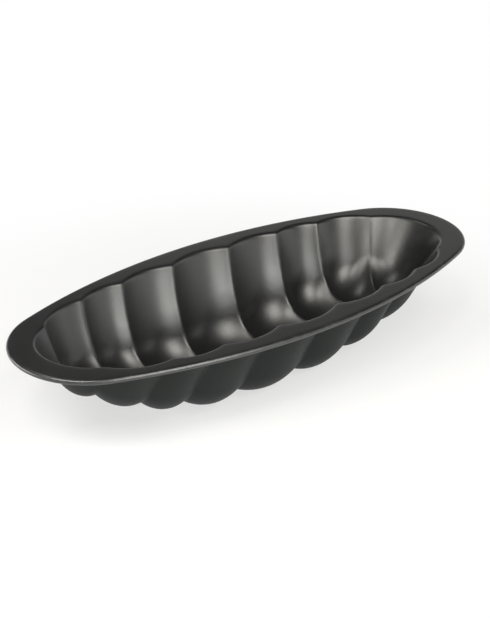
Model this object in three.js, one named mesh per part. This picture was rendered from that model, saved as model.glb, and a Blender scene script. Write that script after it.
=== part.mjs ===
// Braided brioche mould: one deep-pressed steel sheet with a plaited cavity,
// a level flange and a rim rolled over a wire, with a release coat on top.
// Millimetres, +Z up, length along X, standing on its lobes at z = 0.

import * as THREE from 'three';
import { toCreasedNormals } from 'three/addons/utils/BufferGeometryUtils.js';

// Rim, over the coat
const rimLength = 344;
const rimWidth = 150;
const sideRadius = 378;          // plan radius of the long sides
const overallHeight = 62;
const beadRadius = 1.7;          // steel outside of the rolled edge
const curlTurn = 225;            // degrees the edge is rolled from level

// Sheet and release coat
const sheetThickness = 0.7;
const coatThickness = 0.05;

// Opening: the flange is widest at the ridges between lobes
const sideFlange = 20.1;         // rim to ridge at mid length
const endFlange = 24;            // rim to the ridge line at the ends
const openingLengthPower = 3.2;  // fullness of the ridge line along X
const openingWidthPower = 2.6;   // fullness of the ridge line along Y
const mouthFillet = 1.8;
const ridgeShares = [0.157, 0.434, 0.658, 0.908]; // ridges, share of half length
const lobeBulges = [6.7, 5.2, 4.4, 6];           // middle to end, at the mouth
const crownBulges = [5.7, 7.5, 7, 7];            // middle to end, at the floor
const endLobeBulge = 21.8;       // round lobe at each end, at the mouth
const endCrownBulge = 6;         // and where it runs out on the floor

// Cavity
const wallDraft = 23.3;          // degrees from upright
const cornerRadius = 29;         // wall into floor, along the ridges
const ridgeRise = 3.8;           // ridges over the lobes' standing flats
const bowPower = 2.5;            // how late the floor rises towards the ends
const spineDraw = 18;            // end ridges run this far inwards to the spine
const plaitSweep = 10;           // ridges lead by this much at the spine
const farLean = 7;               // and first lag by about this much on the walls
const nearLean = 15;
const plaitFadePower = 4;        // both fade to nothing at the end ridges
const endLag = 7;                // where a lag by this much takes over

// Facets
const facetLength = 6.4;
const filletSteps = 2;
const wallSteps = 3;
const cornerSteps = 4;
const curlSteps = 5;
const coatedCurlSteps = 3;       // steps of the roll that the release coat covers
const softEdgeAngle = 38;        // degrees, for shading only

// Derived sizes
const rad = THREE.MathUtils.degToRad;
const halfLength = rimLength / 2;
const halfWidth = rimWidth / 2;
const openingHalfLength = halfLength - endFlange;
const openingHalfWidth = halfWidth - sideFlange;
const flangeHeight = overallHeight - coatThickness;
const standDepth = flangeHeight - sheetThickness;
const ridgeDepth = standDepth - ridgeRise;
const beadInset = beadRadius + coatThickness;
const curlInside = beadRadius - sheetThickness;
const draft = rad(wallDraft);
const up = new THREE.Vector3(0, 0, 1);
const weldGrid = 1e4;            // points closer than 1 / weldGrid are one

const finishes = {
  release: { color: 0x343436, roughness: 0.34, metalness: 0.1 },
  lacquer: { color: 0x3f413f, roughness: 0.58, metalness: 0.05 },
  steel: { color: 0x8d9092, roughness: 0.42, metalness: 0.9 },
};

// Section of a ridge at mid length, from the flange to the spine.
// inset: level distance in from the mouth; tilt: how far the outward
// direction has turned from level to straight down.
function ridgeSection() {
  const slope = Math.tan(draft);
  const centreDepth = ridgeDepth - cornerRadius;
  const centreInset = centreDepth * slope + cornerRadius / Math.cos(draft);
  const wallEnd = centreDepth + cornerRadius * Math.sin(draft);
  const rows = [];
  for (let i = 0; i < filletSteps; i += 1) {
    const angle = (i / filletSteps) * (Math.PI / 2);
    const depth = mouthFillet * (1 - Math.cos(angle));
    const inset = depth * slope - mouthFillet * (1 - Math.sin(angle));
    rows.push({ inset, depth, tilt: 0 });
  }
  for (let i = 0; i <= wallSteps; i += 1) {
    const share = i / wallSteps;
    const depth = THREE.MathUtils.lerp(mouthFillet, wallEnd, share);
    rows.push({ inset: depth * slope, depth, tilt: draft * share });
  }
  for (let i = 1; i <= cornerSteps; i += 1) {
    const tilt = THREE.MathUtils.lerp(draft, Math.PI / 2, i / cornerSteps);
    const inset = centreInset - cornerRadius * Math.cos(tilt);
    const depth = centreDepth + cornerRadius * Math.sin(tilt);
    rows.push({ inset, depth, tilt });
  }
  rows.push({ inset: openingHalfWidth, depth: ridgeDepth, tilt: Math.PI / 2 });
  return rows;
}

const section = ridgeSection();

// One ridge as a list of points, one for each row of the section.
// share: its place along the half length, with sign; side: +1 far, -1 near.
function ridge(share, side) {
  const x = share * openingHalfLength;
  const fullness = 1 - Math.abs(share) ** openingLengthPower;
  const y = openingHalfWidth * fullness ** (1 / openingWidthPower);
  const toEnd = share / ridgeShares.at(-1);
  const draw = spineDraw * toEnd ** 3;
  const fade = Math.abs(toEnd) ** plaitFadePower;
  const lean = side > 0 ? farLean : nearLean;
  return section.map(({ inset, depth }) => {
    const way = inset / openingHalfWidth;
    const inside = Math.max(way, 0);
    const plaitLead = plaitSweep * inside ** 2 - 4 * lean * inside * (1 - inside);
    const endLead = -endLag * inside * (2 - inside);
    const along = x - draw * way + THREE.MathUtils.lerp(plaitLead, endLead, fade);
    const bow = 1 - Math.abs(along / halfLength) ** bowPower;
    return new THREE.Vector3(along, side * y * (1 - way), -depth * bow);
  });
}

// A point on the arc from a to b that bulges along outward; at runs -1 to 1.
function arcPoint(a, b, bulge, outward, at) {
  const half = a.distanceTo(b) / 2;
  const point = new THREE.Vector3().addVectors(a, b).multiplyScalar(0.5);
  if (half < 1 / weldGrid) {
    return point;
  }
  const along = new THREE.Vector3().subVectors(b, a).normalize();
  const radius = (half ** 2 + bulge ** 2) / (2 * bulge);
  const angle = 2 * Math.atan2(bulge, half) * at;
  point.addScaledVector(along, radius * Math.sin(angle));
  return point.addScaledVector(outward, radius * Math.cos(angle) - radius + bulge);
}

// The columns of one lobe, from ridge a up to, but not including, ridge b.
// The lobe gets flatter where its ridges draw together.
function lobeColumns(a, b, mouthBulge, crownBulge) {
  const mouth = new THREE.Vector3().subVectors(b[0], a[0]);
  const level = new THREE.Vector3(mouth.y, -mouth.x, 0).normalize();
  const mouthWidth = mouth.length();
  const count = 2 * Math.round(mouthWidth / facetLength / 2);
  const bulges = section.map(({ inset }, r) => {
    const way = Math.max(inset, 0) / openingHalfWidth;
    const bulge = THREE.MathUtils.lerp(mouthBulge, crownBulge, way);
    return (bulge * a[r].distanceTo(b[r])) / mouthWidth;
  });
  const columns = [];
  for (let i = 0; i < count; i += 1) {
    const at = (2 * i) / count - 1;
    columns.push(section.map((row, r) => {
      const outward = level.clone().multiplyScalar(Math.cos(row.tilt));
      outward.addScaledVector(up, -Math.sin(row.tilt));
      const point = arcPoint(a[r], b[r], bulges[r], outward, at);
      point.z = flangeHeight + Math.max(point.z, -standDepth);
      return point;
    }));
  }
  return columns;
}

// All columns of the cavity, anticlockwise from the near ridge at the +X end.
function cavityColumns() {
  const stations = [...ridgeShares].reverse();
  stations.push(...ridgeShares.map((share) => -share));
  const last = ridgeShares.length - 1;
  const columns = [];
  for (const side of [1, -1]) {
    const from = ridge(side * stations[0], -side);
    const to = ridge(side * stations[0], side);
    columns.push(...lobeColumns(from, to, endLobeBulge, endCrownBulge));
    for (let i = 0; i + 1 < stations.length; i += 1) {
      const a = ridge(side * stations[i], side);
      const b = ridge(side * stations[i + 1], side);
      const lobe = Math.abs(last - i);
      columns.push(...lobeColumns(a, b, lobeBulges[lobe], crownBulges[lobe]));
    }
  }
  return columns;
}

const cavity = cavityColumns();

// Place on the rim that is nearest to a point of the mouth: where the roll's
// centre line passes, and the outward direction there. The rim is an oval of
// two side arcs and two end arcs that meet without a corner.
function rollAt(mouth) {
  const a = halfLength - beadInset;
  const b = halfWidth - beadInset;
  const side = sideRadius - beadInset;
  const end = (2 * side * b - a ** 2 - b ** 2) / (2 * (side - a));
  const endCentre = new THREE.Vector2(mouth.x < 0 ? end - a : a - end, 0);
  const sideCentre = new THREE.Vector2(0, mouth.y < 0 ? side - b : b - side);
  const seam = new THREE.Vector2().subVectors(endCentre, sideCentre);
  const outward = new THREE.Vector2(mouth.x, mouth.y).sub(sideCentre);
  const onEnd = Math.abs(outward.x * seam.y) > Math.abs(outward.y * seam.x);
  const centre = onEnd ? endCentre : sideCentre;
  outward.set(mouth.x, mouth.y).sub(centre).normalize();
  centre.addScaledVector(outward, onEnd ? end : side);
  return { centre, outward };
}

// A point of the roll's section: reach from its centre line, angle from level.
function rollPoint({ centre, outward }, reach, angle) {
  const level = reach * Math.cos(angle);
  return new THREE.Vector3(
    centre.x + level * outward.x,
    centre.y + level * outward.y,
    flangeHeight - beadRadius + reach * Math.sin(angle),
  );
}

const rolls = cavity.map((column) => rollAt(column[0]));
const curlAngles = Array.from({ length: curlSteps + 1 }, (_, i) => {
  return rad(90 - curlTurn * (1 - i / curlSteps));
});

// Rows of the sheet's upper face: the curl from its cut edge to the flange,
// then the cavity from its mouth to the spine.
const flangeRow = curlSteps;
const mouthRow = flangeRow + 1;
const rowCount = mouthRow + section.length;

function upperPoint(row, col) {
  if (row <= flangeRow) {
    return rollPoint(rolls[col], beadRadius, curlAngles[row]);
  }
  return cavity[col][row - mouthRow].clone();
}

const weldKey = (p) => p.toArray().map((v) => Math.round(v * weldGrid)).join();

// Two triangles for each cell between neighbouring rows and columns.
function forEachTriangle(fromRow, visit) {
  for (let row = fromRow; row + 1 < rowCount; row += 1) {
    for (let col = 0; col < cavity.length; col += 1) {
      const next = (col + 1) % cavity.length;
      visit([row, col], [row, next], [row + 1, next]);
      visit([row, col], [row + 1, next], [row + 1, col]);
    }
  }
}

// Direction and stretch that move each point of flange and cavity off the
// upper face, so that the sheet keeps its thickness on both sides of a ridge.
function offsetDirections() {
  const sums = new Map();
  const faces = [];
  const triangle = new THREE.Triangle();
  forEachTriangle(flangeRow, (...corners) => {
    const points = corners.map(([row, col]) => upperPoint(row, col));
    triangle.set(...points);
    const area = triangle.getArea();
    if (area < 1 / weldGrid) {
      return;
    }
    const normal = triangle.getNormal(new THREE.Vector3()).multiplyScalar(area);
    for (const key of points.map(weldKey)) {
      const sum = sums.get(key) ?? new THREE.Vector3();
      sums.set(key, sum.add(normal));
      faces.push({ key, normal, area });
    }
  });
  const spread = new Map();
  for (const { key, normal, area } of faces) {
    const entry = spread.get(key) ?? { dot: 0, area: 0 };
    entry.dot += normal.dot(sums.get(key)) / sums.get(key).length();
    entry.area += area;
    spread.set(key, entry);
  }
  for (const [key, { dot, area }] of spread) {
    sums.get(key).normalize().multiplyScalar(area / dot);
  }
  return sums;
}

const directions = offsetDirections();

// A point at the given height over the sheet's upper face. The flange and the
// standing flats stay level.
function layerPoint(row, col, height) {
  if (row <= flangeRow) {
    return rollPoint(rolls[col], beadRadius + height, curlAngles[row]);
  }
  const point = upperPoint(row, col);
  const level = point.z === flangeHeight || point.z === flangeHeight - standDepth;
  return point.addScaledVector(level ? up : directions.get(weldKey(point)), height);
}

// Collects triangles with shared points and drops those without area.
class Skin {
  constructor() {
    this.positions = [];
    this.index = [];
    this.known = new Map();
  }

  vertex(point) {
    const key = weldKey(point);
    if (!this.known.has(key)) {
      this.known.set(key, this.known.size);
      this.positions.push(...point.toArray());
    }
    return this.known.get(key);
  }

  triangle(...points) {
    const corners = points.map((point) => this.vertex(point));
    if (new Set(corners).size === corners.length) {
      this.index.push(...corners);
    }
  }

  mesh(name, finish) {
    const geometry = new THREE.BufferGeometry();
    const positions = new THREE.Float32BufferAttribute(this.positions, 3);
    geometry.setAttribute('position', positions);
    geometry.setIndex(this.index);
    const material = new THREE.MeshStandardMaterial(finishes[finish]);
    const mesh = new THREE.Mesh(toCreasedNormals(geometry, rad(softEdgeAngle)), material);
    mesh.name = name;
    return mesh;
  }
}

// A closed layer between two heights, from a row of the sheet to the spine.
function layer(name, finish, fromRow, upper, lower) {
  const skin = new Skin();
  const put = (height, ...corners) => {
    skin.triangle(...corners.map(([row, col]) => layerPoint(row, col, height)));
  };
  forEachTriangle(fromRow, (a, b, c) => {
    put(upper, a, b, c);
    put(lower, a, c, b);
  });
  for (let col = 0; col < cavity.length; col += 1) {
    const next = (col + 1) % cavity.length;
    const low = layerPoint(fromRow, col, lower);
    const high = layerPoint(fromRow, next, upper);
    skin.triangle(low, layerPoint(fromRow, next, lower), high);
    skin.triangle(low, high, layerPoint(fromRow, col, upper));
  }
  return skin.mesh(name, finish);
}

// The wire fills the curl, so its sides lie on the curl's inner facets.
function rimWire(name, finish) {
  const skin = new Skin();
  const sides = curlAngles.length;
  for (let col = 0; col < cavity.length; col += 1) {
    const next = (col + 1) % cavity.length;
    for (let i = 0; i < sides; i += 1) {
      const from = curlAngles[i];
      const to = curlAngles[(i + 1) % sides];
      const a = rollPoint(rolls[col], curlInside, from);
      const c = rollPoint(rolls[next], curlInside, to);
      skin.triangle(a, rollPoint(rolls[next], curlInside, from), c);
      skin.triangle(a, c, rollPoint(rolls[col], curlInside, to));
    }
  }
  return skin.mesh(name, finish);
}

const coatEdgeRow = curlSteps - coatedCurlSteps;
const mould = new THREE.Group();
mould.name = 'braided_brioche_mould';
mould.add(layer('pressed_steel_shell', 'lacquer', 0, 0, -sheetThickness));
mould.add(layer('release_coat', 'release', coatEdgeRow, coatThickness, 0));
mould.add(rimWire('rim_wire', 'steel'));

export default mould;
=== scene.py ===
"""Looks of a braided brioche mould: a pressed and coated steel sheet with a plaited cavity.

The mould's surface is worked out in millimetres, as rows from the rolled edge to the spine and
columns round the loop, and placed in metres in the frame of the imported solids.
"""

import logging
import math
from dataclasses import dataclass, field
from enum import Enum
from typing import Any

import bpy
import numpy as np
from mathutils import Matrix, Vector


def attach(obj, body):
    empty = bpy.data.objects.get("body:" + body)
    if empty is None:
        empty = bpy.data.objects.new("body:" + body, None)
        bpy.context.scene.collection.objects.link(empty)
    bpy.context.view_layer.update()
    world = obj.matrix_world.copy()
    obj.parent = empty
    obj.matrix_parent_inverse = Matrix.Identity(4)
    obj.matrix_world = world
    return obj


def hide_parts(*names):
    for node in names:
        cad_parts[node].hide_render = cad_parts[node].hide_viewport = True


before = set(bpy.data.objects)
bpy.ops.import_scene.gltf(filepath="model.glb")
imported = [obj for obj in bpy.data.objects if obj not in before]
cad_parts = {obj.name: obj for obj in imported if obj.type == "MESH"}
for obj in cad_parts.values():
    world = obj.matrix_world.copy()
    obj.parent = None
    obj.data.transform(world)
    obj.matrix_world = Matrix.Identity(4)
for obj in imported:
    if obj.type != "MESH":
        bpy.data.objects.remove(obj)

Colour = tuple[float, float, float]

MM = 0.001  # a millimetre in metres
TINY = 1e-9  # keeps quotients finite where a lobe runs out
SEAM_GAP = 0.002  # points nearer than this become one, in millimetres
SMOOTH_ANGLE = 50.0  # edges that turn by more stay sharp, in degrees
PAINT_IOR = 1.5
NOISE_MEAN = 0.5
NOISE_RANGE = (0.3, 0.7)  # where soft noise mostly lies
WARM: Colour = (1.0, 0.98, 0.92)
PLAIN: Colour = (1.0, 1.0, 0.96)
log = logging.getLogger("brioche_mould")


class Slot(Enum):
    """Material slots of the record."""

    LACQUER = "lacquered_steel"
    RELEASE = "release_coat"
    WIRE = "wire_steel"


class Node(Enum):
    """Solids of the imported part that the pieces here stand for."""

    SHELL = "pressed_steel_shell"
    COAT = "release_coat"
    WIRE = "rim_wire"


class Side(Enum):
    """The long sides of the mould, by the sign of Y."""

    FAR = 1
    NEAR = -1


class Growth(Enum):
    """The way in which a sheet gets its thickness from its first face."""

    UP = 1.0
    DOWN = -1.0


# Surface of the pressed sheet


def closed_run(line: np.ndarray) -> tuple[np.ndarray, np.ndarray]:
    """Closes a loop of points and measures the way along it.

    Args:
        line: The loop's points, in order.

    Returns:
        The points with the first one again at the end, and the way up to each of them.
    """
    loop = np.concatenate([line, line[:1]])
    steps = np.linalg.norm(np.diff(loop, axis=0), axis=1)
    return loop, np.concatenate([[0.0], np.cumsum(steps)])


@dataclass(frozen=True)
class Section:
    """Section of a ridge at mid length, one entry for each row from the mouth to the spine.

    inset is the level distance in from the mouth, depth is counted down from the flange, and
    tilt is how far the outward direction has turned from level to straight down.
    """

    inset: np.ndarray
    depth: np.ndarray
    tilt: np.ndarray


@dataclass(frozen=True)
class PlaitForm:
    """Sizes of the pressed form in millimetres, and the surface that follows from them."""

    rim_length: float = 344.0
    rim_width: float = 150.0
    side_radius: float = 378.0  # plan radius of the long sides
    overall_height: float = 62.0
    bead_radius: float = 1.7  # steel outside of the rolled edge
    curl_turn: float = 225.0  # degrees the edge is rolled from level
    sheet_thickness: float = 0.7
    coat_thickness: float = 0.05
    side_flange: float = 20.1  # rim to ridge at mid length
    end_flange: float = 24.0  # rim to the ridge line at the ends
    opening_length_power: float = 3.2  # fullness of the ridge line along X
    opening_width_power: float = 2.6  # fullness of the ridge line along Y
    mouth_fillet: float = 1.8
    ridge_shares: tuple[float, ...] = (0.157, 0.434, 0.658, 0.908)  # of the half length
    lobe_bulges: tuple[float, ...] = (6.7, 5.2, 4.4, 6.0)  # middle to end, at the mouth
    crown_bulges: tuple[float, ...] = (5.7, 7.5, 7.0, 7.0)  # middle to end, at the floor
    end_lobe_bulge: float = 21.8  # round lobe at each end, at the mouth
    end_crown_bulge: float = 6.0  # and where it runs out on the floor
    wall_draft: float = 23.3  # degrees from upright
    corner_radius: float = 29.0  # wall into floor, along the ridges
    ridge_rise: float = 3.8  # ridges over the lobes' standing flats
    bow_power: float = 2.5  # how late the floor rises towards the ends
    spine_draw: float = 18.0  # end ridges run this far inwards to the spine
    plait_sweep: float = 10.0  # ridges lead by this much at the spine
    far_lean: float = 7.0  # and first lag by about this much on the walls
    near_lean: float = 15.0
    plait_fade_power: float = 4.0  # both fade to nothing at the end ridges
    end_lag: float = 7.0  # where a lag by this much takes over
    ridge_rounding: float = 1.5  # reach of the mean that rounds the ridges
    rounding_samples: int = 13
    wear_and_highlight_reach: float = 5.0  # how far the rubbed band and its painted highlight spread beside a ridge
    clearance: float = 0.002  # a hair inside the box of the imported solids
    facet_length: float = 1.75
    facet_gathering: float = 0.6  # how much facets draw together towards the ridges
    fillet_steps: int = 6
    wall_steps: int = 20
    corner_steps: int = 18
    floor_steps: int = 8
    flange_steps: int = 4
    curl_steps: int = 15
    coated_curl_steps: int = 9

    @property
    def half_length(self) -> float:
        """Half the rim's length."""
        return self.rim_length / 2 - self.clearance

    @property
    def half_width(self) -> float:
        """Half the rim's width."""
        return self.rim_width / 2 - self.clearance

    @property
    def opening_half_length(self) -> float:
        """Half the length of the ridge line round the opening."""
        return self.half_length - self.end_flange

    @property
    def opening_half_width(self) -> float:
        """Half the width of the ridge line round the opening."""
        return self.half_width - self.side_flange

    @property
    def flange_height(self) -> float:
        """Height of the steel's upper face on the flange."""
        return self.overall_height - self.coat_thickness - self.clearance

    @property
    def stand_depth(self) -> float:
        """Depth of the steel's upper face over the standing flats."""
        return self.flange_height - self.sheet_thickness - self.clearance

    @property
    def bead_inset(self) -> float:
        """From the rim's outline to the centre line of the roll."""
        return self.bead_radius + self.coat_thickness

    @property
    def curl_inside(self) -> float:
        """Inner radius of the roll."""
        return self.bead_radius - self.sheet_thickness

    def section(self) -> Section:
        """Works out the section of a ridge.

        Returns:
            The section, with a row for each step of fillet, wall, corner and floor.
        """
        draft = math.radians(self.wall_draft)
        slope = math.tan(draft)
        ridge_depth = self.stand_depth - self.ridge_rise
        centre_depth = ridge_depth - self.corner_radius
        centre_inset = centre_depth * slope + self.corner_radius / math.cos(draft)
        wall_end = centre_depth + self.corner_radius * math.sin(draft)
        rows: list[tuple[float, float, float]] = []
        for i in range(self.fillet_steps):
            angle = i / self.fillet_steps * math.pi / 2
            depth = self.mouth_fillet * (1 - math.cos(angle))
            rows.append((depth * slope - self.mouth_fillet * (1 - math.sin(angle)), depth, 0.0))
        for i in range(self.wall_steps + 1):
            share = i / self.wall_steps
            depth = self.mouth_fillet + (wall_end - self.mouth_fillet) * share
            rows.append((depth * slope, depth, draft * share))
        for i in range(1, self.corner_steps + 1):
            tilt = draft + (math.pi / 2 - draft) * i / self.corner_steps
            inset = centre_inset - self.corner_radius * math.cos(tilt)
            rows.append((inset, centre_depth + self.corner_radius * math.sin(tilt), tilt))
        for i in range(1, self.floor_steps + 1):
            share = i / self.floor_steps
            inset = centre_inset + (self.opening_half_width - centre_inset) * share
            rows.append((inset, ridge_depth, math.pi / 2))
        inset, depth, tilt = np.array(rows).T
        return Section(inset, depth, tilt)

    def ridge(self, section: Section, share: float, side: Side) -> np.ndarray:
        """Places the section along one ridge.

        Args:
            section: The section to place.
            share: The ridge's place along the half length, with its sign.
            side: The long side that the ridge is on.

        Returns:
            A point for each row of the section, with depths below zero.
        """
        x = share * self.opening_half_length
        fullness = 1 - abs(share) ** self.opening_length_power
        y = self.opening_half_width * fullness ** (1 / self.opening_width_power)
        to_end = share / self.ridge_shares[-1]
        fade = abs(to_end) ** self.plait_fade_power
        lean = self.far_lean if side is Side.FAR else self.near_lean
        way = section.inset / self.opening_half_width
        inside = np.maximum(way, 0)
        plait_lead = self.plait_sweep * inside**2 - 4 * lean * inside * (1 - inside)
        end_lead = -self.end_lag * inside * (2 - inside)
        lead = plait_lead + (end_lead - plait_lead) * fade
        along = x - self.spine_draw * to_end**3 * way + lead
        bow = 1 - np.abs(along / self.half_length) ** self.bow_power
        return np.stack([along, side.value * y * (1 - way), -section.depth * bow], axis=1)

    def lobe(
        self, section: Section, a: np.ndarray, b: np.ndarray, mouth_bulge: float, crown_bulge: float
    ) -> np.ndarray:
        """Spans a lobe of arcs between two ridges.

        Args:
            section: The ridges' section.
            a: Points of the first ridge.
            b: Points of the second ridge.
            mouth_bulge: Height of the arc at the mouth.
            crown_bulge: Height of the arc at the spine, before it is scaled to its chord.

        Returns:
            Points by row and column, from ridge a up to, but not including, ridge b.
        """
        mouth = b[0] - a[0]
        width = float(np.linalg.norm(mouth))
        level = np.array([mouth[1], -mouth[0], 0.0]) / width
        count = 2 * round(width / self.facet_length / 2)
        even = np.arange(count) * 2 / count - 1
        at = even + self.facet_gathering * (np.sin(even * math.pi / 2) - even)
        chord = np.linalg.norm(b - a, axis=1)
        way = np.maximum(section.inset, 0) / self.opening_half_width
        bulge = (mouth_bulge + (crown_bulge - mouth_bulge) * way) * chord / width
        safe_bulge = np.maximum(bulge, TINY)
        safe_chord = np.maximum(chord, TINY)
        radius = ((chord / 2) ** 2 + safe_bulge**2) / (2 * safe_bulge)
        angle = 2 * np.arctan2(bulge, safe_chord / 2)[:, None] * at
        along = (b - a) / safe_chord[:, None]
        outward = level * np.cos(section.tilt)[:, None]
        outward[:, 2] -= np.sin(section.tilt)
        run = (radius[:, None] * np.sin(angle))[:, :, None] * along[:, None, :]
        rise = (radius[:, None] * (np.cos(angle) - 1) + bulge[:, None])[:, :, None]
        return ((a + b) / 2)[:, None, :] + run + rise * outward[:, None, :]

    def cavity(self) -> tuple[np.ndarray, np.ndarray]:
        """Works out the sheet's upper face from the mouth to the spine.

        Returns:
            Points by row and column, anticlockwise from the near ridge at the +X end, and the
            columns that are ridges.
        """
        section = self.section()
        stations = list(reversed(self.ridge_shares)) + [-share for share in self.ridge_shares]
        last = len(self.ridge_shares) - 1
        lobes: list[np.ndarray] = []
        for side, other in ((Side.FAR, Side.NEAR), (Side.NEAR, Side.FAR)):
            ridges = [self.ridge(section, side.value * share, side) for share in stations]
            start = self.ridge(section, side.value * stations[0], other)
            lobes.append(
                self.lobe(section, start, ridges[0], self.end_lobe_bulge, self.end_crown_bulge)
            )
            for i, (a, b) in enumerate(zip(ridges, ridges[1:])):
                nth = abs(last - i)
                bulges = self.lobe_bulges[nth], self.crown_bulges[nth]
                lobes.append(self.lobe(section, a, b, *bulges))
        starts = np.cumsum([0] + [lobe.shape[1] for lobe in lobes[:-1]])
        points = np.concatenate(lobes, axis=1)
        points[:, :, 2] = self.flange_height + np.maximum(points[:, :, 2], -self.stand_depth)
        return self.rounded(points), starts

    def rounded(self, points: np.ndarray) -> np.ndarray:
        """Rounds the ridges by a running mean along each row.

        Args:
            points: Points by row and column of a closed loop.

        Returns:
            The points, each the mean of its row within the rounding on both sides.
        """
        samples = np.linspace(-1, 1, self.rounding_samples) * self.ridge_rounding
        out = np.empty_like(points)
        for row, line in enumerate(points):
            loop, run = closed_run(line)
            places = run[:-1, None] + samples
            for axis in range(3):
                value = np.interp(places, run, loop[:, axis], period=run[-1] + TINY)
                out[row, :, axis] = value.mean(axis=1)
        return out

    def roll_line(self, mouth: np.ndarray) -> tuple[np.ndarray, np.ndarray]:
        """Finds the centre line of the rolled edge, beside each point of the mouth.

        The rim is an oval of two side arcs and two end arcs that meet without a corner.

        Args:
            mouth: Points of the mouth, one for each column.

        Returns:
            The centre line's points and the outward directions there, both level.
        """
        a = self.half_length - self.bead_inset
        b = self.half_width - self.bead_inset
        side = self.side_radius - self.bead_inset
        end = (2 * side * b - a**2 - b**2) / (2 * (side - a))
        flat = mouth[:, :2]
        zero = np.zeros(len(flat))
        end_centre = np.stack([np.where(flat[:, 0] < 0, end - a, a - end), zero], axis=1)
        side_centre = np.stack([zero, np.where(flat[:, 1] < 0, side - b, b - side)], axis=1)
        seam = np.abs(end_centre - side_centre)
        ray = np.abs(flat - side_centre)
        on_end = ray[:, 0] * seam[:, 1] > ray[:, 1] * seam[:, 0]
        centre = np.where(on_end[:, None], end_centre, side_centre)
        outward = flat - centre
        outward /= np.linalg.norm(outward, axis=1)[:, None]
        return centre + outward * np.where(on_end, end, side)[:, None], outward

    def roll_ring(
        self, line: np.ndarray, outward: np.ndarray, reach: float, angle: float
    ) -> np.ndarray:
        """Places one ring of points round the roll.

        Args:
            line: The roll's centre line.
            outward: The outward directions along it.
            reach: Distance from the centre line.
            angle: Angle from level, in radians.

        Returns:
            A point for each column.
        """
        level = line + outward * (reach * math.cos(angle))
        height = self.flange_height - self.bead_radius + reach * math.sin(angle)
        return np.column_stack([level, np.full(len(level), height)])

    def curl_angles(self) -> list[float]:
        """Angles of the roll's rows, from the cut edge up to the flange, in radians."""
        share = np.arange(self.curl_steps + 1) / self.curl_steps
        return [math.radians(90 - self.curl_turn * (1 - s)) for s in share]


class PressedSurface:
    """The sheet's upper face as a grid of points, shared by the pieces that lie on it."""

    def __init__(self, form: PlaitForm) -> None:
        """Works out the grid, and how near each point is to a ridge or to the rim.

        Args:
            form: The sizes of the pressed form.
        """
        self.form = form
        cavity, self.ridge_columns = form.cavity()
        self.line, self.outward = form.roll_line(cavity[0])
        curl = [
            form.roll_ring(self.line, self.outward, form.bead_radius, angle)
            for angle in form.curl_angles()
        ]
        flange = [
            curl[-1] + (cavity[0] - curl[-1]) * (i / form.flange_steps)
            for i in range(1, form.flange_steps)
        ]
        self.rows = np.concatenate([np.stack(curl + flange), cavity])
        self.mouth_row = len(curl) + len(flange)
        # The ridge and rim marks lighten the paint there: partly rubbed paint, partly a painted
        # highlight.
        self.ridge_nearness = self._ridge_nearness()
        self.rim_nearness = self._rim_nearness()

    def marks(self, first: int = 0) -> dict[str, np.ndarray]:
        """Nearness to the ridges and to the rim, from that row on."""
        return {"ridge": self.ridge_nearness[first:], "rim": self.rim_nearness[first:]}

    def _ridge_nearness(self) -> np.ndarray:
        """Works out how near each point is to a ridge, along its row.

        Returns:
            Numbers by row and column that fall from 1 on a ridge to 0 at the reach of the rubbed
            band and its painted highlight.
        """
        nearness = np.zeros(self.rows.shape[:2])
        for row in range(self.mouth_row, len(self.rows)):
            _, run = closed_run(self.rows[row])
            gap = np.abs(run[:-1, None] - run[self.ridge_columns])
            gap = np.minimum(gap, run[-1] - gap).min(axis=1)
            nearness[row] = np.clip(1 - gap / self.form.wear_and_highlight_reach, 0, 1) ** 2
        return nearness

    def _rim_nearness(self) -> np.ndarray:
        """Works out how near each point is to the upper outside of the roll, where the paint is
        lighter: partly rubbed, partly a painted highlight on the side that faces up and out.

        Returns:
            Numbers by row and column, 1 there and 0 from the flange on.
        """
        nearness = np.zeros(self.rows.shape[:2])
        for row, angle in enumerate(self.form.curl_angles()):
            nearness[row] = max(0.0, math.cos(angle - math.pi / 4)) ** 2
        return nearness


# Finishes


class Value:
    """A number that varies over a surface: a socket that takes part in sums."""

    def __init__(self, bench: "Bench", socket: bpy.types.NodeSocket) -> None:
        """Wraps a socket of the bench's node tree."""
        self.bench = bench
        self.socket = socket

    def _math(self, operation: str, *operands: Any) -> "Value":
        """Adds a node that does one sum.

        Args:
            operation: The kind of sum.
            operands: Numbers or values that it takes, in order.

        Returns:
            The result.
        """
        settings = {"operation": operation}
        made = self.bench.node("ShaderNodeMath", settings, dict(enumerate(operands)))
        return Value(self.bench, made.outputs[0])

    def __add__(self, other: Any) -> "Value":
        """Sum."""
        return self._math("ADD", self, other)

    __radd__ = __add__

    def __sub__(self, other: Any) -> "Value":
        """Difference."""
        return self._math("SUBTRACT", self, other)

    def __mul__(self, other: Any) -> "Value":
        """Product."""
        return self._math("MULTIPLY", self, other)

    def between(self, low: float, high: float) -> "Value":
        """Rises smoothly from 0 to 1.

        Args:
            low: Where it starts to rise.
            high: Where it has reached 1.

        Returns:
            The result.
        """
        settings = {"interpolation_type": "SMOOTHSTEP"}
        inputs = {"Value": self, "From Min": low, "From Max": high}
        return Value(self.bench, self.bench.node("ShaderNodeMapRange", settings, inputs).outputs[0])


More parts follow.
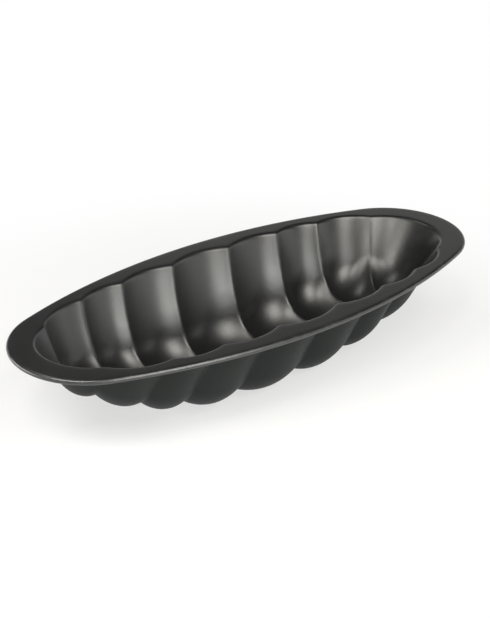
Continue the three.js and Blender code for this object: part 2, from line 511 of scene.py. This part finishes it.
class Bench:
    """A node tree in the making."""

    def __init__(self, name: str) -> None:
        """Makes an empty material.

        Args:
            name: The material's name.
        """
        self.material = bpy.data.materials.new(name)
        self.material.use_nodes = True
        self.tree = self.material.node_tree
        self.tree.nodes.clear()

    def node(self, kind: str, settings: dict[str, Any], inputs: dict[Any, Any]) -> bpy.types.Node:
        """Adds a node.

        Args:
            kind: The node's type.
            settings: Its settings, set first.
            inputs: Values or links of its sockets, by name or by number.

        Returns:
            The node.
        """
        made = self.tree.nodes.new(kind)
        for name, value in settings.items():
            setattr(made, name, value)
        for name, value in inputs.items():
            self._feed(made.inputs[name], value)
        return made

    def _feed(self, socket: bpy.types.NodeSocket, value: Any) -> None:
        """Links a socket, or sets it where the value is plain.

        Args:
            socket: The socket.
            value: A value or socket to link, or a plain number, text or colour.
        """
        if isinstance(value, Value):
            self.tree.links.new(value.socket, socket)
        elif isinstance(value, bpy.types.NodeSocket):
            self.tree.links.new(value, socket)
        else:
            socket.default_value = value

    def place(self) -> bpy.types.NodeSocket:
        """Object coordinates, in metres."""
        return self.node("ShaderNodeTexCoord", {}, {}).outputs["Object"]

    def attribute(self, name: str) -> Value:
        """A number kept on the piece's points."""
        made = self.node("ShaderNodeAttribute", {"attribute_name": name}, {})
        return Value(self, made.outputs["Fac"])

    def noise(self, size: float, detail: float) -> Value:
        """Soft noise whose features are about that size in millimetres."""
        inputs = {"Vector": self.place(), "Scale": 1 / (size * MM), "Detail": detail}
        return Value(self, self.node("ShaderNodeTexNoise", {}, inputs).outputs["Fac"])

    def flakes(self, size: float) -> Value:
        """Splits the surface into small cells.

        Args:
            size: About the size of a cell, in millimetres.

        Returns:
            A random number for each cell.
        """
        inputs = {"Vector": self.place(), "Scale": 1 / (size * MM)}
        made = self.node("ShaderNodeTexVoronoi", {"feature": "F1"}, inputs)
        grey = self.node("ShaderNodeSeparateColor", {}, {"Color": made.outputs["Color"]})
        return Value(self, grey.outputs[0])

    def paint_with_wear_and_highlight(
        self, tone: Value, dark: Colour, light: Colour, wear_and_highlight: Value, worn_and_highlight: Colour
    ) -> bpy.types.NodeSocket:
        """Colours a paint that is lighter in places, partly rubbed and partly with a painted
        highlight.

        Args:
            tone: Goes from the dark to the light colour of the paint.
            dark: The paint's dark colour.
            light: The paint's light colour.
            wear_and_highlight: Goes from the paint to the lighter colour of rubbed paint and
                painted highlight.
            worn_and_highlight: The lighter colour, of rubbed paint and of a painted highlight.

        Returns:
            The colour.
        """
        return self.mix(wear_and_highlight, self.mix(tone, (*dark, 1.0), (*light, 1.0)), (*worn_and_highlight, 1.0))

    def mix(self, factor: Value, low: Any, high: Any) -> bpy.types.NodeSocket:
        """Goes from one colour to another, each with its alpha."""
        inputs = {0: factor, 6: low, 7: high}
        return self.node("ShaderNodeMix", {"data_type": "RGBA"}, inputs).outputs[2]

    def surface(self, constants: dict[str, Any], varying: dict[str, Any]) -> bpy.types.Material:
        """Ends the tree in a surface shader.

        Args:
            constants: Sockets of the shader that are the same all over.
            varying: Sockets that are linked.

        Returns:
            The finished material.
        """
        shader = self.node("ShaderNodeBsdfPrincipled", {}, {**constants, **varying})
        self.node("ShaderNodeOutputMaterial", {}, {"Surface": shader.outputs[0]})
        return self.material

    def bump(self, height: Value, distance: float, strength: float) -> bpy.types.NodeSocket:
        """Turns a height between 0 and 1 into a normal; distance is in millimetres."""
        inputs = {"Height": height, "Distance": distance * MM, "Strength": strength}
        return self.node("ShaderNodeBump", {}, inputs).outputs[0]


@dataclass(frozen=True)
class ReleaseFinish:
    """Satin anthracite non-stick coat with a fine flake and a slight orange peel, lighter along
    ridges and rim: partly rubbed coat, partly a painted highlight.

    Sizes and the relief's height are in millimetres.
    """

    dark: Colour = (0.0060, 0.0063, 0.0064)
    light: Colour = (0.0112, 0.0116, 0.0117)
    # Lighter colour of the coat along ridges and rim: rubbed coat, and a painted highlight.
    worn_and_highlight: Colour = (0.0300, 0.0295, 0.0290)
    roughness: float = 0.325
    specular: float = 1.0
    cloud_size: float = 38.0
    mottle_size: float = 4.5
    flake_size: float = 0.42
    peel_size: float = 1.5
    grain_size: float = 0.45
    cloud_tone: float = 0.35
    mottle_tone: float = 0.25
    flake_tone: float = 0.40
    cloud_roughness: float = 0.10
    mottle_roughness: float = 0.08
    flake_roughness: float = 0.04
    worn_polish: float = 0.06
    # How strongly ridges and rim are lightened: partly rubbed coat, partly a painted highlight.
    ridge_wear_and_highlight: float = 0.35
    rim_wear_and_highlight: float = 0.55
    wear_and_highlight_patches: tuple[float, float] = (0.35, 0.65)
    wear_and_highlight_range: tuple[float, float] = (0.12, 0.6)
    peel_relief: float = 0.7
    grain_relief: float = 0.2
    flake_relief: float = 0.1
    relief_height: float = 0.04
    relief_strength: float = 0.7

    def material(self) -> bpy.types.Material:
        """Builds the material.

        Returns:
            The coat's material.
        """
        bench = Bench("release_coat")
        cloud = bench.noise(self.cloud_size, detail=2.0)
        mottle = bench.noise(self.mottle_size, detail=3.0)
        flake = bench.flakes(self.flake_size)
        peel = bench.noise(self.peel_size, detail=1.0)
        grain = bench.noise(self.grain_size, detail=2.0)
        tone = cloud.between(*NOISE_RANGE) * self.cloud_tone
        tone = tone + mottle * self.mottle_tone + flake * self.flake_tone
        # Lighter along ridges and rim, in patches: partly rubbed coat, partly a painted highlight.
        edge_wear_and_highlight = bench.attribute("ridge") * self.ridge_wear_and_highlight + bench.attribute("rim") * self.rim_wear_and_highlight
        wear_and_highlight = (edge_wear_and_highlight * mottle.between(*self.wear_and_highlight_patches)).between(*self.wear_and_highlight_range)
        rough = self.roughness + (cloud - NOISE_MEAN) * self.cloud_roughness
        rough = rough + (mottle - NOISE_MEAN) * self.mottle_roughness
        rough = rough + flake * self.flake_roughness - wear_and_highlight * self.worn_polish
        height = peel * self.peel_relief + grain * self.grain_relief + flake * self.flake_relief
        return bench.surface(
            {"IOR": PAINT_IOR, "Specular IOR Level": self.specular},
            {
                "Base Color": bench.paint_with_wear_and_highlight(tone, self.dark, self.light, wear_and_highlight, self.worn_and_highlight),
                "Roughness": rough,
                "Normal": bench.bump(height, self.relief_height, self.relief_strength),
            },
        )


@dataclass(frozen=True)
class LacquerFinish:
    """Matte dark lacquer on the underside, mottled, and lighter on ridges and rim: partly rubbed
    lacquer, partly a painted highlight.

    Sizes and the relief's height are in millimetres.
    """

    dark: Colour = (0.0118, 0.0135, 0.0133)
    light: Colour = (0.0196, 0.0222, 0.0218)
    # Lighter colour of the lacquer along ridges and rim: rubbed lacquer, and a painted highlight.
    worn_and_highlight: Colour = (0.0360, 0.0368, 0.0352)
    roughness: float = 0.50
    specular: float = 0.11
    cloud_size: float = 45.0
    mottle_size: float = 3.2
    grain_size: float = 0.55
    flake_size: float = 0.5
    cloud_tone: float = 0.40
    mottle_tone: float = 0.30
    flake_tone: float = 0.30
    cloud_roughness: float = 0.10
    mottle_roughness: float = 0.12
    worn_polish: float = 0.08
    ridge_wear_and_highlight: float = 0.3
    rim_wear_and_highlight: float = 0.5
    wear_and_highlight_patches: tuple[float, float] = (0.4, 0.7)
    wear_and_highlight_range: tuple[float, float] = (0.15, 0.6)
    grain_relief: float = 0.6
    mottle_relief: float = 0.4
    relief_height: float = 0.03
    relief_strength: float = 0.4

    def material(self) -> bpy.types.Material:
        """Builds the material.

        Returns:
            The lacquer's material.
        """
        bench = Bench("lacquered_steel")
        cloud = bench.noise(self.cloud_size, detail=2.0)
        mottle = bench.noise(self.mottle_size, detail=3.0)
        grain = bench.noise(self.grain_size, detail=2.0)
        flake = bench.flakes(self.flake_size)
        tone = cloud.between(*NOISE_RANGE) * self.cloud_tone
        tone = tone + mottle * self.mottle_tone + flake * self.flake_tone
        # Lighter along ridges and rim, in patches: partly rubbed lacquer, partly a painted
        # highlight.
        edge_wear_and_highlight = bench.attribute("ridge") * self.ridge_wear_and_highlight + bench.attribute("rim") * self.rim_wear_and_highlight
        wear_and_highlight = (edge_wear_and_highlight * mottle.between(*self.wear_and_highlight_patches)).between(*self.wear_and_highlight_range)
        rough = self.roughness + (cloud - NOISE_MEAN) * self.cloud_roughness
        rough = rough + (mottle - NOISE_MEAN) * self.mottle_roughness - wear_and_highlight * self.worn_polish
        height = grain * self.grain_relief + mottle * self.mottle_relief
        return bench.surface(
            {"IOR": PAINT_IOR, "Specular IOR Level": self.specular},
            {
                "Base Color": bench.paint_with_wear_and_highlight(tone, self.dark, self.light, wear_and_highlight, self.worn_and_highlight),
                "Roughness": rough,
                "Normal": bench.bump(height, self.relief_height, self.relief_strength),
            },
        )


@dataclass(frozen=True)
class WireFinish:
    """Bare drawn steel wire with a dull, spotted skin.

    Sizes and the relief's height are in millimetres.
    """

    dark: Colour = (0.16, 0.16, 0.165)
    light: Colour = (0.34, 0.345, 0.35)
    roughness: float = 0.42
    metallic: float = 0.9
    spot_size: float = 2.0
    scale_size: float = 0.4
    scale_roughness: float = 0.2
    relief_height: float = 0.02
    relief_strength: float = 0.3

    def material(self) -> bpy.types.Material:
        """Builds the material.

        Returns:
            The wire's material.
        """
        bench = Bench("wire_steel")
        spots = bench.noise(self.spot_size, detail=3.0).between(*NOISE_RANGE)
        scale = bench.noise(self.scale_size, detail=2.0)
        return bench.surface(
            {"Metallic": self.metallic},
            {
                "Base Color": bench.mix(spots, (*self.dark, 1.0), (*self.light, 1.0)),
                "Roughness": self.roughness + (scale - NOISE_MEAN) * self.scale_roughness,
                "Normal": bench.bump(scale, self.relief_height, self.relief_strength),
            },
        )


# Pieces


def active_mesh(name: str) -> bpy.types.Object:
    """Names the object that was just added, and its mesh.

    Args:
        name: The piece's name.

    Returns:
        The object.
    """
    piece = bpy.context.object
    piece.name = name
    piece.data.name = name
    return piece


def add_shaped_grid(
    name: str, points: np.ndarray, marks: dict[str, np.ndarray]
) -> bpy.types.Object:
    """Adds a grid, bends it into a loop along the points and closes its seams.

    Args:
        name: The piece's name.
        points: Points by row and column, in millimetres; columns run round the loop.
        marks: Numbers to keep on the points, by row and column.

    Returns:
        The object, with its faces towards the roll's outside and the cavity's inside.
    """
    rows, columns = points.shape[:2]
    bpy.ops.object.select_all(action="DESELECT")
    bpy.ops.mesh.primitive_grid_add(x_subdivisions=columns, y_subdivisions=rows - 1, size=1.0)
    piece = active_mesh(name)
    wrapped = np.concatenate([points, points[:, :1]], axis=1) * MM
    piece.data.vertices.foreach_set("co", wrapped.astype(np.float32).ravel())
    for mark, values in marks.items():
        kept = piece.data.attributes.new(mark, "FLOAT", "POINT")
        looped = np.concatenate([values, values[:, :1]], axis=1)
        kept.data.foreach_set("value", looped.astype(np.float32).ravel())
    bpy.ops.object.mode_set(mode="EDIT")
    bpy.ops.mesh.select_all(action="SELECT")
    bpy.ops.mesh.remove_doubles(threshold=SEAM_GAP * MM)
    bpy.ops.object.mode_set(mode="OBJECT")
    return piece


def thicken(piece: bpy.types.Object, thickness: float, growth: Growth) -> None:
    """Gives a sheet its thickness, and smooths it up to the sharp edges.

    Args:
        piece: The sheet, which is the active object.
        thickness: Its thickness in millimetres.
        growth: The way in which it gets it.
    """
    modifier = piece.modifiers.new("thickness", "SOLIDIFY")
    modifier.thickness = thickness * MM
    modifier.offset = growth.value
    modifier.use_even_offset = True
    modifier.use_quality_normals = True
    bpy.ops.object.modifier_apply(modifier=modifier.name)
    bpy.ops.object.shade_smooth_by_angle(angle=math.radians(SMOOTH_ANGLE))


@dataclass
class PressedShell:
    """The pressed steel sheet with its rolled edge, lacquered underneath."""

    surface: PressedSurface
    finish: LacquerFinish = field(default_factory=LacquerFinish)

    def build(self) -> bpy.types.Object:
        """Builds the sheet, downwards from its upper face.

        Returns:
            The shell.
        """
        piece = add_shaped_grid("mould_shell", self.surface.rows, self.surface.marks())
        thicken(piece, self.surface.form.sheet_thickness, Growth.DOWN)
        return piece

    def dress(self, piece: bpy.types.Object) -> None:
        """Gives the shell its finish and its place in the frame."""
        settle(piece, self.finish.material(), Node.SHELL)


@dataclass
class ReleaseCoat:
    """The non-stick coat over cavity, flange and the outside of the roll."""

    surface: PressedSurface
    finish: ReleaseFinish = field(default_factory=ReleaseFinish)

    def build(self) -> bpy.types.Object:
        """Builds the coat, upwards from the sheet's upper face.

        Returns:
            The coat.
        """
        form = self.surface.form
        first = form.curl_steps - form.coated_curl_steps
        rows, marks = self.surface.rows[first:], self.surface.marks(first)
        piece = add_shaped_grid("nonstick_coat", rows, marks)
        thicken(piece, form.coat_thickness, Growth.UP)
        return piece

    def dress(self, piece: bpy.types.Object) -> None:
        """Gives the coat its finish and its place in the frame."""
        settle(piece, self.finish.material(), Node.COAT)


@dataclass
class RimWire:
    """The wire that the edge is rolled over, with a little slack in the roll, in millimetres."""

    surface: PressedSurface
    sides: int = 18
    slack: float = 0.02
    finish: WireFinish = field(default_factory=WireFinish)

    def build(self) -> bpy.types.Object:
        """Builds the wire along the roll's centre line.

        Returns:
            The wire, a closed ring.
        """
        form, line, outward = self.surface.form, self.surface.line, self.surface.outward
        radius = form.curl_inside - self.slack
        turns = np.linspace(0, -2 * math.pi, self.sides + 1)
        rings = [form.roll_ring(line, outward, radius, angle) for angle in turns]
        piece = add_shaped_grid("edge_wire", np.stack(rings), {})
        bpy.ops.object.mode_set(mode="EDIT")
        bpy.ops.mesh.select_all(action="SELECT")
        bpy.ops.mesh.normals_make_consistent(inside=False)
        bpy.ops.object.mode_set(mode="OBJECT")
        bpy.ops.object.shade_smooth()
        return piece

    def dress(self, piece: bpy.types.Object) -> None:
        """Gives the wire its finish and its place in the frame."""
        settle(piece, self.finish.material(), Node.WIRE)


def settle(piece: bpy.types.Object, material: bpy.types.Material, node: Node) -> None:
    """Dresses a finished piece and ties it to the frame.

    Args:
        piece: The piece.
        material: Its material.
        node: The solid that it stands for.
    """
    piece.data.materials.clear()
    piece.data.materials.append(material)
    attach(piece, "root")
    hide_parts(node.value)
    log.info("%s: %d faces, for %s", piece.name, len(piece.data.polygons), node.value)


# Studio


@dataclass(frozen=True)
class Softbox:
    """A rectangular lamp that faces a point of the mould, in degrees, metres and watts."""

    name: str
    azimuth: float
    elevation: float
    distance: float
    width: float
    height: float
    power: float
    tint: Colour

    def build(self, target: Vector) -> None:
        """Adds the lamp.

        Args:
            target: The point that it faces.
        """
        back = direction(self.azimuth, self.elevation)
        lamp = bpy.data.lights.new(self.name, "AREA")
        lamp.shape = "RECTANGLE"
        lamp.size = self.width
        lamp.size_y = self.height
        lamp.energy = self.power
        lamp.color = self.tint
        holder = bpy.data.objects.new(self.name, lamp)
        holder.location = target + back * self.distance
        holder.rotation_euler = back.to_track_quat("Z", "Y").to_euler()
        holder.visible_camera = False
        bpy.context.scene.collection.objects.link(holder)


def direction(azimuth: float, elevation: float) -> Vector:
    """Direction from the mould to a viewer; azimuth 0 is in front, and 90 at the +X end."""
    a, e = math.radians(azimuth), math.radians(elevation)
    return Vector((math.sin(a) * math.cos(e), -math.cos(a) * math.cos(e), math.sin(e)))


@dataclass(frozen=True)
class PhotoCamera:
    """The photograph's camera, in degrees, millimetres and pixels of the photograph."""

    azimuth: float = -38.13
    elevation: float = 26.6
    roll: float = -0.36
    distance: float = 909.49
    focal_pixels: float = 1419.54
    rim_pixel: tuple[float, float] = (252.2, 283.3)
    frame_pixels: tuple[int, int] = (490, 618)
    sensor: float = 36.0
    clip_near: float = 50.0
    clip_far: float = 50000.0

    def build(self, rim_centre: Vector) -> None:
        """Adds the camera and makes it the scene's.

        Args:
            rim_centre: The centre of the rim, in metres.
        """
        back = direction(self.azimuth, self.elevation)
        a, roll = math.radians(self.azimuth), math.radians(self.roll)
        level = Vector((math.cos(a), math.sin(a), 0.0))
        upright = back.cross(level)
        right = level * math.cos(roll) + upright * math.sin(roll)
        up = upright * math.cos(roll) - level * math.sin(roll)
        per_pixel = self.distance / self.focal_pixels
        shift_x = (self.rim_pixel[0] - self.frame_pixels[0] / 2) * per_pixel
        shift_y = (self.frame_pixels[1] / 2 - self.rim_pixel[1]) * per_pixel
        offset = back * self.distance - right * shift_x - up * shift_y
        data = bpy.data.cameras.new("photo_camera")
        data.sensor_width = self.sensor
        data.lens = self.focal_pixels * self.sensor / max(self.frame_pixels)
        data.clip_start = self.clip_near * MM
        data.clip_end = self.clip_far * MM
        holder = bpy.data.objects.new("photo_camera", data)
        turn = Matrix((right, up, back)).transposed()
        holder.matrix_world = Matrix.Translation(rim_centre + offset * MM) @ turn.to_4x4()
        bpy.context.scene.collection.objects.link(holder)
        bpy.context.scene.camera = holder


@dataclass(frozen=True)
class Studio:
    """A pale floor and low backdrop all round, soft lamps and a dim surround, in metres."""

    floor_size: float = 40.0
    backdrop_radius: float = 8.0
    backdrop_height: float = 1.8
    backdrop_sides: int = 96
    floor_colour: Colour = (0.97, 0.97, 0.97)
    surround: Colour = (0.035, 0.035, 0.036)
    near_white: float = 0.6  # share of plain white in the floor beside the mould
    white_from: float = 0.12  # where that share starts to rise
    white_to: float = 0.34  # and where all is plain white
    lamps: tuple[Softbox, ...] = (
        # Azimuth, elevation, distance, width, height, power and tint
        Softbox("high_softbox", 3.0, 49.5, 0.93, 0.36, 0.46, 4.136, WARM),
        Softbox("front_softbox", -12.0, 19.0, 0.56, 0.36, 0.085, 1.408, PLAIN),
        Softbox("side_softbox", -80.0, 42.0, 0.56, 0.28, 0.14, 1.1, WARM),
        Softbox("left_softbox", -90.0, 50.0, 2.2, 0.45, 0.70, 4.84, WARM),
        Softbox("upper_softbox", -52.0, 57.0, 2.2, 0.45, 0.55, 10.12, WARM),
        Softbox("back_softbox", 131.0, 21.0, 0.8, 0.70, 0.28, 0.18, PLAIN),
        Softbox("fill_softbox", 45.0, 18.0, 0.96, 1.0, 0.07, 0.704, PLAIN),
        Softbox("rear_softbox", 190.0, 56.0, 1.4, 0.50, 0.30, 1.6, PLAIN),
        Softbox("rear_low_softbox", 232.0, 9.0, 1.2, 0.90, 0.18, 5.0, PLAIN),
    )

    def floor_material(self) -> bpy.types.Material:
        """Builds the pale material: shaded near the mould, and plain white further out.

        Returns:
            The material.
        """
        bench = Bench("studio_floor")
        path = bench.node("ShaderNodeLightPath", {}, {})
        straight = Value(bench, path.outputs["Is Camera Ray"])
        straight = straight + Value(bench, path.outputs["Is Glossy Ray"])
        straight = straight + Value(bench, path.outputs["Is Transmission Ray"])
        reach = bench.node("ShaderNodeVectorMath", {"operation": "LENGTH"}, {0: bench.place()})
        outer = Value(bench, reach.outputs["Value"]).between(self.white_from, self.white_to)
        matte = bench.node("ShaderNodeBsdfDiffuse", {}, {"Color": (*self.floor_colour, 1.0)})
        white = bench.node("ShaderNodeEmission", {}, {"Strength": 1.0})
        share = straight * (self.near_white + outer * (1 - self.near_white))
        inputs = {0: share, 1: matte.outputs[0], 2: white.outputs[0]}
        mixed = bench.node("ShaderNodeMixShader", {}, inputs)
        bench.node("ShaderNodeOutputMaterial", {}, {"Surface": mixed.outputs[0]})
        return bench.material

    def build(self, target: Vector) -> None:
        """Adds floor, backdrop, lamps and surround.

        Args:
            target: The point that the lamps face.
        """
        bpy.ops.object.select_all(action="DESELECT")
        pale = self.floor_material()
        bpy.ops.mesh.primitive_plane_add(size=self.floor_size)
        floor = active_mesh("studio_floor")
        bpy.ops.mesh.primitive_cylinder_add(
            vertices=self.backdrop_sides,
            radius=self.backdrop_radius,
            depth=2 * self.backdrop_height,
            end_fill_type="NOTHING",
        )
        backdrop = active_mesh("studio_backdrop")
        for stand in (floor, backdrop):
            stand.data.materials.append(pale)
        for lamp in self.lamps:
            lamp.build(target)
        world = bpy.data.worlds.new("studio")
        world.use_nodes = True
        world.node_tree.nodes["Background"].inputs["Color"].default_value = (*self.surround, 1.0)
        bpy.context.scene.world = world
        bpy.context.scene.view_settings.view_transform = "Standard"


def main() -> None:
    """Builds the pieces and the studio."""
    logging.basicConfig(level=logging.INFO, format="%(name)s %(message)s")
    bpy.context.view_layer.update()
    form = PlaitForm()
    surface = PressedSurface(form)
    for part in (PressedShell(surface), ReleaseCoat(surface), RimWire(surface)):
        part.dress(part.build())
    rim_centre = Vector((0.0, 0.0, form.overall_height * MM))
    Studio().build(Vector((0.0, 0.0, form.overall_height * MM / 2)))
    PhotoCamera().build(rim_centre)


if __name__ == "__main__":
    main()
